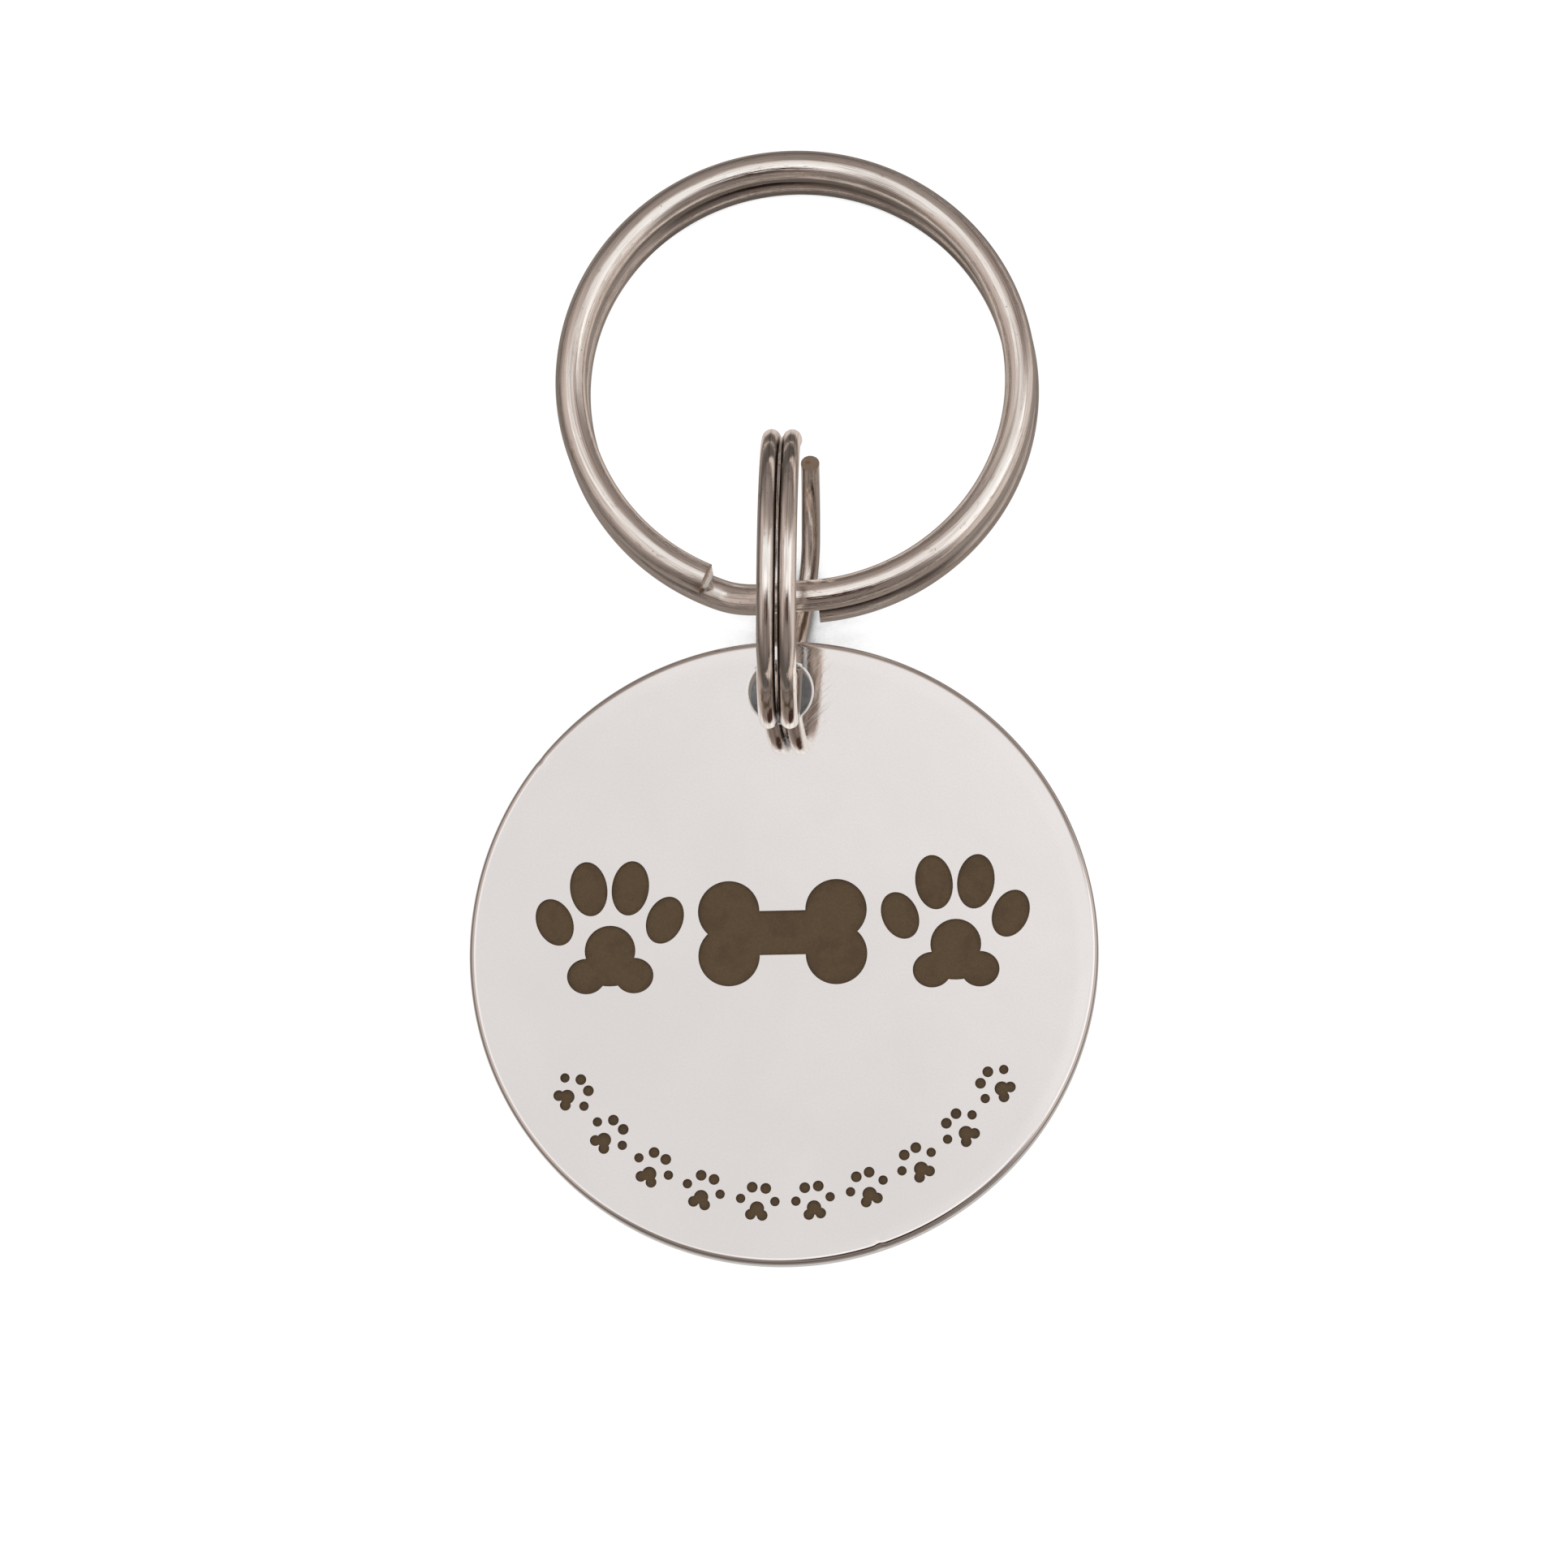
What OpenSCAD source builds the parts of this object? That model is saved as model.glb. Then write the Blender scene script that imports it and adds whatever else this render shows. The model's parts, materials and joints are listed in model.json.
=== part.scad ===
// Round pet identity tag on two split rings, as it lies on a table.
// The disc hangs on the small ring, and the small ring hangs on the large one,
// which is the ring that a collar takes.
// Frame: +X to the right, +Y from the disc towards the rings, +Z up from the table.

/* [Tag disc] */
// Diameter of the disc
tag_d = 32; // [28:0.5:38]
// Thickness of the disc
tag_t = 1.5; // [1:0.1:1.8]
// Radius that rounds both corners of the disc's edge
rim_r = 0.3; // [0.1:0.05:0.4]
// Width of the bevel at each mouth of the hole
hole_bevel = 0.15; // [0.1:0.05:0.3]
// Metal left between the hole and the disc's edge
hole_edge = 1; // [0.8:0.1:1.6]
// Play round the small ring's wires where they pass through the hole
hole_play = 0.24; // [0.12:0.02:0.3]

/* [Engraved marks] */
// Depth of the engraving in the front face
mark_depth = 0.12; // [0.08:0.02:0.2]
// Width of the whole row of large marks
row_w = 25.2; // [20:0.2:26]
// Width of each large paw print
paw_w = 7.6; // [5:0.1:8]
// Height of the bone between the large paw prints
bone_h = 5.4; // [4:0.1:6]
// Gap between the bone and each large paw print
row_gap = 0.7; // [0.4:0.1:1.2]
// How far the row of large marks lies above the disc's centre
row_rise = 0.95; // [0:0.05:2]
// Width of each small paw print along the lower edge
trail_paw_w = 2.3; // [1.8:0.1:2.8]
// Distance from the disc's centre to the middle of the small paw prints
trail_r = 12.9; // [11.5:0.1:13.4]
// Number of small paw prints along the lower edge
trail_count = 10; // [4:1:16]
// Angle from one small paw print to the next
trail_step = 12.6; // [10:0.1:16]

/* [Small split ring] */
// Outside diameter of the small ring
small_d = 15.2; // [13:0.1:18]
// Thickness of the small ring's wire
small_wire = 0.95; // [0.8:0.05:1.2]
// Gap between the two turns of the small ring
small_gap = 0.1; // [0.05:0.01:0.15]
// How far the small ring's free end has sprung out sideways
small_spring = 0.8; // [0.2:0.05:0.9]
// Angle round the ring of the stretch of wire that has sprung out
small_spring_run = 105; // [80:5:110]
// Angle over which that stretch rises before it runs level again
small_spring_rise = 65; // [40:5:75]

/* [Large split ring] */
// Outside diameter of the large ring
large_d = 24.7; // [22:0.1:32]
// Thickness of the large ring's wire
large_wire = 1.6; // [1.2:0.05:1.8]
// Gap between the two turns of the large ring
large_gap = 0.1; // [0.05:0.01:0.2]
// How far the lower turn has slipped sideways on the upper one
large_slip = 0.2; // [0:0.05:0.4]
// Direction in which it has slipped, as an angle from +X
large_slip_turn = -45; // [-180:5:180]

/* [Lay on the table] */
// Angle round the small ring, below its centre, at which its wires pass the disc
hole_lay = 43; // [38:1:46]
// Turn of the disc about its own normal
tag_turn = 1.5; // [0:0.1:2]
// How far the disc's right side is tipped up
tag_tip = 2.3; // [0:0.1:3]
// How far the small ring's middle plane stands to the right of the hole's centre
ring_side = 0.04; // [0:0.02:0.08]
// Height of the large ring's lower turn over the small ring's lowest wire
lay_gap = 0.2; // [0.1:0.05:0.4]
// How far the large ring's wire lies towards the disc from the small ring's centre
wire_back = 0; // [0:0.05:0.5]
// How far the large ring's centre lies to the right of the small ring
large_side = 0.45; // [0:0.05:1]

/* [Hidden] */
$fn = 96;

// A split ring's angles, counted from its first cut end: the wire runs round
// once, crosses to the other turn beside that end, and runs round again.
end_clear = 3;
cross_run = 23;
last_clear = 2.5;
// What a swept stretch of wire is sunk into the turns that it joins
sink_run = 2;
sweep_step = 1.5;
sweep_sides = 20;
skin_share = 0.004;
// The sprung stretch of a ring whose turns lie level
level = [0, 0, 1];

// The cut ends' places round each ring: the small ring's free end is turned up
// behind the large ring, and the large ring's lies to the left of the small one.
small_end_angle = -20.5;
large_end_angle = 247.5;

// Centre line radius of each ring, and the distance between its turns
small_r = (small_d - small_wire) / 2;
large_r = (large_d - large_wire) / 2;
small_pitch = small_wire + small_gap;
large_pitch = large_wire + large_gap;

// The disc's middle plane passes this far under the small ring's centre
hole_drop = small_r * sin(hole_lay);
// The wires curve on their way through the bore, which ends at mouth_z on both
// sides: from far_y at its one end to near_y at the other, along the disc from
// the small ring's centre. The hole is centred between the two.
mouth_z = tag_t / 2 - hole_bevel;
far_y = sqrt(pow(small_r + small_wire / 2, 2) - pow(hole_drop - mouth_z, 2));
near_y = sqrt(pow(small_r - small_wire / 2, 2) - pow(hole_drop + mouth_z, 2));
hole_y = (far_y + near_y) / 2;
hole_r = norm([small_pitch / 2, (far_y - near_y) / 2]) + hole_play;
tag_r = tag_d / 2;
hole_off = tag_r - hole_edge - hole_r;

// The disc's centre from the small ring's, before the disc leans
disc_y = -hole_y - hole_off * cos(tag_turn);
disc_z = -hole_drop + hole_off * sin(tag_turn) * sin(tag_tip);

// The small ring stands on the table, and the disc leans down from it until its
// edge meets the table: low_z is the edge's lowest height when it leans by angle a
centre_z = small_d / 2;
lean_half = tag_t / 2 - rim_r;
rim_line = tag_r - rim_r;
function low_z(a) = centre_z + disc_y * sin(a) + (disc_z - lean_half * cos(tag_tip)) * cos(a)
    - rim_line * sqrt(1 - pow(cos(tag_tip) * cos(a), 2)) - rim_r;
function lean_between(a, b, steps) = let (m = (a + b) / 2)
    steps == 0 ? m : low_z(m) > 0 ? lean_between(m, b, steps - 1) : lean_between(a, m, steps - 1);
tag_lean = lean_between(0, 15, 24);

// The large ring rests near the small ring's lowest wire, its far side on the table
wire_z = small_wire + lay_gap + (large_pitch + large_wire) / 2;
large_reach = 2 * large_r;
large_lean = asin((wire_z - large_wire / 2) / norm([large_reach, large_pitch / 2]))
    - atan2(large_pitch / 2, large_reach);

// The origin is under the middle of the whole lay, level with the table
low_y = disc_y * cos(tag_lean) - (disc_z + lean_half * cos(tag_tip)) * sin(tag_lean)
    - rim_line * sqrt(1 - pow(cos(tag_tip) * sin(tag_lean), 2)) - rim_r;
high_y = -wire_back + large_reach * cos(large_lean)
    + (large_pitch * sin(large_lean) + large_wire) / 2;
centre_y = -(low_y + high_y) / 2;
hole_x = -hole_off * sin(tag_turn);
centre_x = hole_x + ring_side;

// Cuts run this far past the faces that they open
overrun = tag_t / 2;

// Toes of a paw print: place across and up, half width, half height, as shares
// of the print's width, and the turn outwards in degrees
toe_shares = [[-0.37, 0.1, 0.12, 0.165], [-0.14, 0.32, 0.125, 0.185],
              [0.14, 0.32, 0.125, 0.185], [0.37, 0.1, 0.12, 0.165]];
toe_turns = [24, 8, -8, -24];
// Lobes of the pad: place across and up, half width, half height
pad_shares = [[0, -0.1, 0.17, 0.17], [0, -0.22, 0.2, 0.12],
              [-0.16, -0.27, 0.13, 0.12], [0.16, -0.27, 0.13, 0.12]];
// Round spots of a small print: place across and up, and radius, toes first
small_paw_shares = [[-0.38, 0.06, 0.105], [-0.15, 0.33, 0.12], [0.15, 0.33, 0.12], [0.38, 0.06, 0.105],
                    [0, -0.13, 0.16], [-0.13, -0.27, 0.12], [0.13, -0.27, 0.12]];
// Knob radius and shaft height of the bone, as shares of its height
bone_knob_share = 0.29;
bone_shaft_share = 0.42;
oval_sides = 28;

function oval(half_w, half_h) =
    [for (i = [0 : oval_sides - 1])
        [half_w * cos(360 * i / oval_sides), half_h * sin(360 * i / oval_sides)]];

// Rounded half section of the disc, from its axis out to its edge and back
function disc_section() = concat(
    [[0, -tag_t / 2]],
    [for (a = [-90 : 15 : 0]) [tag_r - rim_r + rim_r * cos(a), -lean_half + rim_r * sin(a)]],
    [for (a = [0 : 15 : 90]) [tag_r - rim_r + rim_r * cos(a), lean_half + rim_r * sin(a)]],
    [[0, tag_t / 2]]);

// Smooth rise from 0 to 1
function ease(s) = let (c = max(0, min(1, s))) c * c * (3 - 2 * c);

// Centre line of a split ring at angle a, which falls from 0 at the first cut
// end to about -691 at the last one. The first turn is on top, and its end may
// have sprung up: spring holds how far, the angle of the stretch that has sprung,
// and the angle over which it rises. The second turn is slipped sideways by slip.
function wire_at(a, r, pitch, spring, slip) =
    let (down = ease((-a - 360 + end_clear + cross_run) / cross_run),
         up = ease((spring[1] + a) / spring[2]))
    [r * cos(a) + slip[0] * down, r * sin(a) + slip[1] * down,
     pitch / 2 - pitch * down + spring[0] * up];

function wire_line(a0, a1, r, pitch, spring, slip) =
    let (n = ceil(abs(a1 - a0) / sweep_step))
    [for (i = [0 : n]) wire_at(a0 + (a1 - a0) * i / n, r, pitch, spring, slip)];

// Tube along a line of points: each ring of corners stands square to the line
function tube_corners(line, centre, half) =
    [for (i = [0 : len(line) - 1])
        let (d = line[min(i + 1, len(line) - 1)] - line[max(i - 1, 0)],
             t = d / norm(d),
             flat = [line[i][0] - centre[0], line[i][1] - centre[1], 0],
             o = flat - t * (flat * t),
             u = o / norm(o),
             v = cross(t, u))
        for (k = [0 : sweep_sides - 1])
            line[i] + half * (u * cos(360 * k / sweep_sides) + v * sin(360 * k / sweep_sides))];

module wire_tube(line, centre, half) {
    s = sweep_sides;
    n = len(line);
    polyhedron(
        points = tube_corners(line, centre, half),
        faces = concat(
            [for (k = [1 : s - 2]) [0, k, k + 1]],
            [for (k = [1 : s - 2]) [(n - 1) * s, (n - 1) * s + k + 1, (n - 1) * s + k]],
            [for (i = [0 : n - 2]) for (k = [0 : s - 1]) [i * s + k, (i + 1) * s + k, i * s + (k + 1) % s]],
            [for (i = [0 : n - 2]) for (k = [0 : s - 1])
                [i * s + (k + 1) % s, (i + 1) * s + k, (i + 1) * s + (k + 1) % s]]));
}

// Plain stretch of one turn, clockwise from angle a0 to angle a1
module turn(r, wire, a0, a1) {
    rotate([0, 0, a1]) rotate_extrude(angle = a0 - a1) translate([r, 0]) circle(d = wire);
}

// Split ring in its own plane, its axis along Z and its first cut end at angle 0
module split_ring(r, wire, pitch, spring, slip) {
    half = wire / 2 * (1 - skin_share);
    sprung = spring[1];
    cross_at = -360 + end_clear + cross_run;
    translate([0, 0, pitch / 2]) turn(r, wire, -sprung, cross_at);
    translate([slip[0], slip[1], -pitch / 2]) turn(r, wire, cross_at - cross_run, cross_at - 360 + last_clear);
    wire_tube(wire_line(cross_at + sink_run, cross_at - cross_run - sink_run, r, pitch, level, slip),
        slip / 2, half);
    if (sprung > 0)
        wire_tube(wire_line(0, -sprung - sink_run, r, pitch, spring, slip), [0, 0], half);
}

module oval_spot(spot, turned, width) {
    translate([spot[0], spot[1]] * width) rotate(turned)
        polygon(oval(spot[2] * width, spot[3] * width));
}

// Paw print with oval toes
module paw(width) {
    for (i = [0 : len(toe_shares) - 1]) oval_spot(toe_shares[i], toe_turns[i], width);
    for (lobe = pad_shares) oval_spot(lobe, 0, width);
}

// Small paw print with round toes
module small_paw(width) {
    for (spot = small_paw_shares)
        translate([spot[0], spot[1]] * width) circle(r = spot[2] * width, $fn = 32);
}

module bone(length, height) {
    knob = bone_knob_share * height;
    square([length - 2 * knob, bone_shaft_share * height], center = true);
    for (x = [-1, 1], y = [-1, 1])
        translate([x * (length / 2 - knob), y * (height / 2 - knob)]) circle(r = knob);
}

module marks() {
    translate([0, row_rise]) {
        for (x = [-1, 1]) translate([x * (row_w - paw_w) / 2, 0]) paw(paw_w);
        bone(row_w - 2 * (paw_w + row_gap), bone_h);
    }
    for (i = [0 : trail_count - 1])
        rotate((i - (trail_count - 1) / 2) * trail_step)
            translate([0, -trail_r]) small_paw(trail_paw_w);
}

// Bore and both bevelled mouths of the hole, about its own centre
module hole_cut() {
    cylinder(r = hole_r, h = tag_t + 2 * overrun, center = true);
    for (side = [0, 1]) mirror([0, 0, side]) translate([0, 0, mouth_z])
        cylinder(r1 = hole_r, r2 = hole_r + hole_bevel + overrun, h = hole_bevel + overrun);
}

module tag_disc() {
    color("gainsboro")
    translate([hole_x, centre_y, centre_z])
    rotate([tag_lean, 0, 0]) translate([0, -hole_y, -hole_drop]) rotate([0, -tag_tip, 0]) rotate([0, 0, tag_turn])
    difference() {
        translate([0, -hole_off, 0]) rotate_extrude() polygon(disc_section());
        hole_cut();
        translate([0, -hole_off, tag_t / 2 - mark_depth]) linear_extrude(height = overrun) marks();
    }
}

module small_split_ring() {
    color("darkgray")
    translate([centre_x, centre_y, centre_z])
    rotate([90, 0, 90]) rotate([0, 0, small_end_angle])
    split_ring(small_r, small_wire, small_pitch,
        [small_spring, small_spring_run, small_spring_rise], [0, 0]);
}

module large_split_ring() {
    color("silver")
    translate([centre_x + large_side, centre_y - wire_back, wire_z])
    rotate([-large_lean, 0, 0]) translate([0, large_r, 0]) rotate([0, 0, large_end_angle])
    split_ring(large_r, large_wire, large_pitch, level,
        large_slip * [cos(large_slip_turn - large_end_angle), sin(large_slip_turn - large_end_angle)]);
}

tag_disc();
small_split_ring();
large_split_ring();
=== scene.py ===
import json
import math

import bpy
from mathutils import Matrix, Vector, kdtree, noise


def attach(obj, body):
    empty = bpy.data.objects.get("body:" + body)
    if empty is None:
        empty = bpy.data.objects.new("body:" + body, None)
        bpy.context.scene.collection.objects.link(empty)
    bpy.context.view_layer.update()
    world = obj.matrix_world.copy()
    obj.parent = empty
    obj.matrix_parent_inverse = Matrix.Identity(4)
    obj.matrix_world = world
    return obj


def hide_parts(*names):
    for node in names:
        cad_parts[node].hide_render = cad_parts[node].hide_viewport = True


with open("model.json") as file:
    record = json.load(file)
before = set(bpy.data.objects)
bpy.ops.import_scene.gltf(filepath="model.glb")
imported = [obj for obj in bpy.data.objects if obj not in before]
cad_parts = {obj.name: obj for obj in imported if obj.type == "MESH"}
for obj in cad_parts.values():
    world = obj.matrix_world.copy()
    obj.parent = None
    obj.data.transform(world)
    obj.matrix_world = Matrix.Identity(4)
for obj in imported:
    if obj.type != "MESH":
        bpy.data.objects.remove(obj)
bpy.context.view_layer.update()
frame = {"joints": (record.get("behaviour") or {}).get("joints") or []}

MM = 0.001

# Sizes of the pieces, as the solids have them, in mm, and angles in degrees
TAG_R, TAG_T, RIM_R = 16.0, 1.5, 0.3
HOLE_BEVEL, HOLE_EDGE, HOLE_PLAY, HOLE_LAY = 0.15, 1.0, 0.24, 43.0
TAG_TURN, TAG_TIP, RING_SIDE = 1.5, 2.3, 0.04
MARK_DEPTH = 0.12
ROW_W, PAW_W, BONE_H, ROW_GAP, ROW_RISE = 25.2, 7.6, 5.4, 0.7, 0.95
TRAIL_PAW_W, TRAIL_R, TRAIL_COUNT, TRAIL_STEP = 2.3, 12.9, 10, 12.6
SMALL_D, SMALL_WIRE, SMALL_GAP = 15.2, 0.95, 0.1
LARGE_D, LARGE_WIRE, LARGE_GAP = 24.7, 1.6, 0.1
LARGE_SLIP, LARGE_SLIP_TURN = 0.2, -45.0
LAY_GAP, LARGE_SIDE = 0.2, 0.45
SMALL_END, LARGE_END = -20.5, 247.5
# The small ring's free end has sprung out: by how many mm, how many degrees before the end that starts,
# and over how many degrees it grows. The large ring's has not
SMALL_SPRING, LARGE_SPRING = (0.8, 105, 65), (0, 0, 1)

# Only the scene has these, in mm: the upper face falls away near the rim, and the rim has two nicks
ROLL_FROM, ROLL_DROP, ROLL_BANDS, ROLL_BAND_W = 14.95, 0.025, 5, 0.2
# Angle of each nick, its depth, and its reach to each side in degrees
NICKS = [(140.4, 0.022, 1.0), (-72.6, 0.05, 1.0)]

small_r = (SMALL_D - SMALL_WIRE) / 2
large_r = (LARGE_D - LARGE_WIRE) / 2
small_pitch = SMALL_WIRE + SMALL_GAP
large_pitch = LARGE_WIRE + LARGE_GAP

# Where the hole sits in the disc, and how far the disc leans
hole_drop = small_r * math.sin(math.radians(HOLE_LAY))
mouth_z = TAG_T / 2 - HOLE_BEVEL
far_y = math.sqrt((SMALL_D / 2) ** 2 - (hole_drop - mouth_z) ** 2)
near_y = math.sqrt((small_r - SMALL_WIRE / 2) ** 2 - (hole_drop + mouth_z) ** 2)
hole_y = (far_y + near_y) / 2
hole_r = math.hypot(small_pitch / 2, (far_y - near_y) / 2) + HOLE_PLAY
hole_off = TAG_R - HOLE_EDGE - hole_r
turn, tip = math.radians(TAG_TURN), math.radians(TAG_TIP)
disc_y = -hole_y - hole_off * math.cos(turn)
disc_z = -hole_drop + hole_off * math.sin(turn) * math.sin(tip)


def lowest(lean):
    """Height of the disc's lowest edge over the table when it leans by this angle."""
    upright = math.cos(tip) * math.cos(lean)
    middle = disc_y * math.sin(lean) + (disc_z - (TAG_T / 2 - RIM_R) * math.cos(tip)) * math.cos(lean)
    return SMALL_D / 2 + middle - (TAG_R - RIM_R) * math.sqrt(1 - upright ** 2) - RIM_R


least, most = 0.0, math.radians(15)
for _ in range(40):
    tag_lean = (least + most) / 2
    least, most = (tag_lean, most) if lowest(tag_lean) > 0 else (least, tag_lean)
wire_z = SMALL_WIRE + LAY_GAP + (large_pitch + LARGE_WIRE) / 2
large_lean = (math.asin((wire_z - LARGE_WIRE / 2) / math.hypot(2 * large_r, large_pitch / 2))
              - math.atan2(large_pitch / 2, 2 * large_r))

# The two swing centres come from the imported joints
joint_at = {j["name"]: Vector(j["pos_m"]) / MM for j in frame["joints"]}
small_at = joint_at["tag_swing"]
large_at = joint_at["ring_swing"]

tag_place = (Matrix.Translation(small_at - Vector((RING_SIDE, 0, 0))) @ Matrix.Rotation(tag_lean, 4, "X")
             @ Matrix.Translation((0, -hole_y, -hole_drop)) @ Matrix.Rotation(-tip, 4, "Y")
             @ Matrix.Rotation(turn, 4, "Z") @ Matrix.Translation((0, -hole_off, 0)))
small_place = (Matrix.Translation(small_at) @ Matrix.Rotation(math.pi / 2, 4, "Z")
               @ Matrix.Rotation(math.pi / 2, 4, "X") @ Matrix.Rotation(math.radians(SMALL_END), 4, "Z"))
large_place = (Matrix.Translation(large_at + Vector((LARGE_SIDE, 0, 0)))
               @ Matrix.Rotation(-large_lean, 4, "X") @ Matrix.Translation((0, large_r, 0))
               @ Matrix.Rotation(math.radians(LARGE_END), 4, "Z"))


def deselect():
    if bpy.context.object and bpy.context.object.mode != "OBJECT":
        bpy.ops.object.mode_set(mode="OBJECT")
    bpy.ops.object.select_all(action="DESELECT")


def work_on(obj):
    deselect()
    bpy.context.view_layer.objects.active = obj
    obj.select_set(True)


def named(name):
    obj = bpy.context.object
    obj.name = obj.data.name = name
    return obj


def apply_all(obj):
    work_on(obj)
    for modifier in list(obj.modifiers):
        bpy.ops.object.modifier_apply(modifier=modifier.name)


def put(obj, place):
    """Moves a piece modelled in mm about its own centre to its place in the frame, in metres."""
    work_on(obj)
    obj.matrix_world = Matrix.Scale(MM, 4) @ place
    bpy.ops.object.transform_apply(location=True, rotation=True, scale=True)


def pick(obj, kind, test):
    """Leaves edit mode on, with only the faces or edges that pass the test selected."""
    work_on(obj)
    bpy.ops.object.mode_set(mode="EDIT")
    bpy.ops.mesh.select_mode(type=kind)
    bpy.ops.mesh.select_all(action="DESELECT")
    bpy.ops.object.mode_set(mode="OBJECT")
    mesh = obj.data
    for item in (mesh.polygons if kind == "FACE" else mesh.edges):
        item.select = test(item if kind == "FACE" else [mesh.vertices[v].co for v in item.vertices])
    bpy.ops.object.mode_set(mode="EDIT")


def done():
    bpy.ops.object.mode_set(mode="OBJECT")


# The tag disc, in mm about its own centre, with the hole towards +Y

# Spots of a large print, with place, half sizes and turn, and of a small one, for a print of width 1
TOES = [(-0.37, 0.1, 0.12, 0.165, 24), (-0.14, 0.32, 0.125, 0.185, 8),
        (0.14, 0.32, 0.125, 0.185, -8), (0.37, 0.1, 0.12, 0.165, -24)]
PADS = [(0, -0.1, 0.17, 0.17, 0), (0, -0.22, 0.2, 0.12, 0),
        (-0.16, -0.27, 0.13, 0.12, 0), (0.16, -0.27, 0.13, 0.12, 0)]
SMALL_SPOTS = [(-0.38, 0.06, 0.105), (-0.15, 0.33, 0.12), (0.15, 0.33, 0.12), (0.38, 0.06, 0.105),
               (0, -0.13, 0.16), (-0.13, -0.27, 0.12), (0.13, -0.27, 0.12)]
# A bone's knobs and its bar, as shares of its height
KNOB_SHARE, BAR_SHARE = 0.29, 0.42
CUTTER_H = 1.0
face_z = TAG_T / 2
cutter_z = face_z - MARK_DEPTH + CUTTER_H / 2


def spot_cutter(x, y, half_w, half_h, turned, sides=40):
    deselect()
    bpy.ops.mesh.primitive_cylinder_add(vertices=sides, radius=1, depth=CUTTER_H, location=(0, 0, 0))
    obj = bpy.context.object
    obj.matrix_world = (Matrix.Translation((x, y, cutter_z)) @ Matrix.Rotation(math.radians(turned), 4, "Z")
                        @ Matrix.Diagonal((half_w, half_h, 1, 1)))
    bpy.ops.object.transform_apply(location=True, rotation=True, scale=True)
    return obj


def joined(pieces, name):
    deselect()
    for piece in pieces:
        piece.select_set(True)
    bpy.context.view_layer.objects.active = pieces[0]
    bpy.ops.object.join()
    return named(name)


def change(obj, other, operation):
    """Adds the other piece to a solid, or cuts it out of it, and removes that piece."""
    work_on(obj)
    modifier = obj.modifiers.new("change", "BOOLEAN")
    modifier.operation = operation
    modifier.object = other
    modifier.solver = "EXACT"
    bpy.ops.object.modifier_apply(modifier=modifier.name)
    bpy.data.objects.remove(other)


def united(pieces, name):
    for piece in pieces[1:]:
        change(pieces[0], piece, "UNION")
    work_on(pieces[0])
    return named(name)


def paw_cutter(spots, width, name):
    return united([spot_cutter(x * width, y * width, w * width, h * width, turned)
                   for x, y, w, h, turned in spots], name)


def copy_to(obj, place, name):
    work_on(obj)
    bpy.ops.object.duplicate(linked=False)
    twin = named(name)
    twin.matrix_world = place
    bpy.ops.object.transform_apply(location=True, rotation=True, scale=True)
    return twin


def bone_cutter(length, height, name):
    """A bar with two round knobs at each end."""
    knob = KNOB_SHARE * height
    deselect()
    bpy.ops.mesh.primitive_cube_add(size=1, location=(0, 0, cutter_z))
    shaft = bpy.context.object
    shaft.scale = (length - 2 * knob, BAR_SHARE * height, CUTTER_H)
    bpy.ops.object.transform_apply(location=True, rotation=True, scale=True)
    knobs = [spot_cutter(x * (length / 2 - knob), y * (height / 2 - knob), knob, knob, 0, 56)
             for x in (-1, 1) for y in (-1, 1)]
    return united([shaft] + knobs, name)


def roll_off(disc):
    """The blank's upper face falls away a little over its outermost millimetre."""
    for v in disc.data.vertices:
        over = math.hypot(v.co.x, v.co.y) - ROLL_FROM
        if over > 0 and v.co.z > 0:
            v.co.z -= ROLL_DROP * (over / (TAG_R - ROLL_FROM)) ** 2


def nick(disc, angle, depth, reach):
    """Presses a small dent into the upper corner of the rim, reach degrees to each side of the angle."""
    band, fade = 0.5, 0.4
    for v in disc.data.vertices:
        radius = math.hypot(v.co.x, v.co.y)
        away = (math.degrees(math.atan2(v.co.y, v.co.x)) - angle + 180) % 360 - 180
        if radius > TAG_R - band and v.co.z > 0 and abs(away) < reach:
            outer = min(1, (radius - TAG_R + band) / fade)
            push = depth * (1 - (away / reach) ** 2) * outer * (v.co.z / face_z)
            v.co.x *= 1 - push / radius
            v.co.y *= 1 - push / radius
            v.co.z -= push * 0.5


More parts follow.
